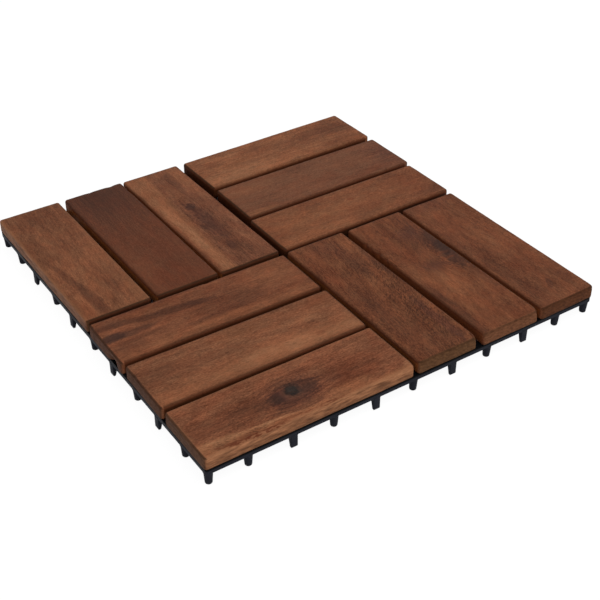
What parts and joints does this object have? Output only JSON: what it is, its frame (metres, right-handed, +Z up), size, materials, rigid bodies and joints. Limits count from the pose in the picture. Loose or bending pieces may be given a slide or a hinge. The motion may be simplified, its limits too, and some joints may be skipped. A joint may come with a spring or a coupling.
{
  "type": "interlocking deck tile",
  "caption": "Square deck tile of oiled hardwood slats in four quarters, each turned against the next, screwed to a black plastic lattice base with short feet, tabs and loops",
  "frame": {"origin": "on the ground under the middle foot, which stands at the middle of the square tile", "axes": "+Z up out of the walking face; +X and +Y point at the two sides that carry the loops, and the wedge tabs are on the -X and -Y sides"},
  "size_m": [0.3076, 0.3074, 0.022],
  "materials": {
    "base_plastic": "black moulded plastic, lightly satin",
    "slat_wood": "reddish-brown oiled hardwood, fine grain with knots",
    "screw_steel": "zinc-plated"
  },
  "bodies": {
    "root": {"base_grid": "base_plastic", "screws": "screw_steel", "slat_front_1": "slat_wood", "slat_front_2": "slat_wood", "slat_front_3": "slat_wood", "slat_right_1": "slat_wood", "slat_right_2": "slat_wood", "slat_right_3": "slat_wood", "slat_back_1": "slat_wood", "slat_back_2": "slat_wood", "slat_back_3": "slat_wood", "slat_left_1": "slat_wood", "slat_left_2": "slat_wood", "slat_left_3": "slat_wood"}
  },
  "joints": []
}
